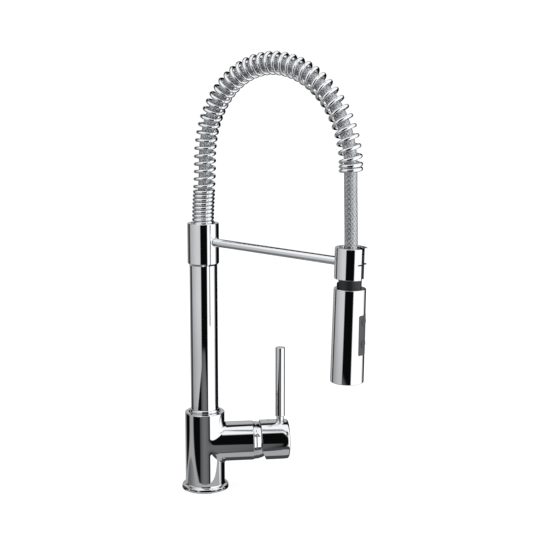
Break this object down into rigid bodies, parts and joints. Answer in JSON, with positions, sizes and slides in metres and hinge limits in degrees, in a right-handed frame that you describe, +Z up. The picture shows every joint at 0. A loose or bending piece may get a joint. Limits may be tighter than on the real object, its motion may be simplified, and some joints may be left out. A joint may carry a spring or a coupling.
{
  "type": "kitchen tap",
  "caption": "Chrome pull-down kitchen tap with a spring-wrapped hose arch, a docked spray head with two push buttons, and a side lever mixer on a swivelling column.",
  "frame": {"origin": "centre of the round foot on the worktop", "axes": "+Z up along the column; +X from the column towards the spray head; +Y completes the frame, on the lever's side"},
  "size_m": [0.2326, 0.1071, 0.4805],
  "materials": {
    "chrome": "polished chrome plate",
    "brass": "turned",
    "steel": "satin",
    "braid": "fine braid",
    "seal_rubber": "matte",
    "black_plastic": "matte",
    "slate_plastic": "matte",
    "slate_rubber": "matte",
    "ceramic": "ground ceramic",
    "white_plastic": "satin"
  },
  "bodies": {
    "base": {"valve_body": "chrome", "base_gasket": "seal_rubber", "thrust_washer": "white_plastic", "riser_bush_lower": "white_plastic", "riser_bush_upper": "white_plastic", "riser_retaining_screw": "steel", "cartridge_housing": "white_plastic", "cartridge_seals": "seal_rubber", "cartridge_nut": "brass", "ceramic_disc_fixed": "ceramic", "dome_shroud": "chrome"},
    "riser": {"riser_tube": "chrome", "swivel_ring": "chrome", "upper_sleeve": "chrome", "sleeve_grub_screw": "steel", "spring": "chrome", "hose_riser": "braid", "hose_arch": "braid", "support_arm": "chrome", "holder": "chrome", "hose_lower": "braid"},
    "mixer": {"cartridge_rotor": "white_plastic", "stem_pin": "steel"},
    "disc": {"ceramic_disc_moving": "ceramic"},
    "handle": {"cartridge_stem": "brass", "handle_hub": "chrome", "lever_rod": "chrome", "handle_grub_screw": "steel", "index_plug": "black_plastic"},
    "spray_head": {"spray_neck": "black_plastic", "hose_ferrule": "steel", "hose_nut": "brass", "check_valve": "white_plastic", "spray_shell": "chrome", "shell_seal": "seal_rubber", "spray_core": "slate_plastic", "button_panel": "slate_plastic", "button_spring_upper": "steel", "button_spring_lower": "steel", "nozzle_mat": "slate_rubber", "spray_face": "slate_plastic", "aerator": "steel"},
    "upper_button": {"button_upper": "slate_plastic"},
    "lower_button": {"button_lower": "slate_plastic"}
  },
  "joints": [
    {"name": "riser_swivel", "type": "hinge", "parent": "base", "child": "riser", "pos_m": [0, 0, 0.063], "axis": [0, 0, 1], "range_deg": [-180, 180]},
    {"name": "handle_turn", "type": "hinge", "parent": "base", "child": "mixer", "pos_m": [0.04037, 0.03967, 0.0514], "axis": [0.7133, 0.7009, 0], "range_deg": [-45, 45]},
    {"name": "handle_lift", "type": "hinge", "parent": "mixer", "child": "handle", "pos_m": [0.04037, 0.03967, 0.0514], "axis": [-0.7009, 0.7133, 0], "range_deg": [0, 25]},
    {"name": "disc_slide", "type": "slide", "parent": "mixer", "child": "disc", "axis": [0, 0, 1], "range_m": [0, 0.00634]},
    {"name": "head_pull", "type": "slide", "parent": "riser", "child": "spray_head", "axis": [-0.0262, 0, -0.9997], "range_m": [0, 0.12], "stiffness_N_per_m": 125, "springref_m": -0.03, "deforming": ["hose_lower"]},
    {"name": "upper_button_push", "type": "slide", "parent": "spray_head", "child": "upper_button", "axis": [-0.9899, -0.1392, 0.0259], "range_m": [0, 0.0012], "stiffness_N_per_m": 600, "springref_m": -0.0015, "deforming": ["button_spring_upper"]},
    {"name": "lower_button_push", "type": "slide", "parent": "spray_head", "child": "lower_button", "axis": [-0.9899, -0.1392, 0.0259], "range_m": [0, 0.0012], "stiffness_N_per_m": 600, "springref_m": -0.0015, "deforming": ["button_spring_lower"]}
  ],
  "couplings": [
    {"joint": "disc_slide", "follows": "handle_lift", "m_per_rad": 0.01453}
  ]
}
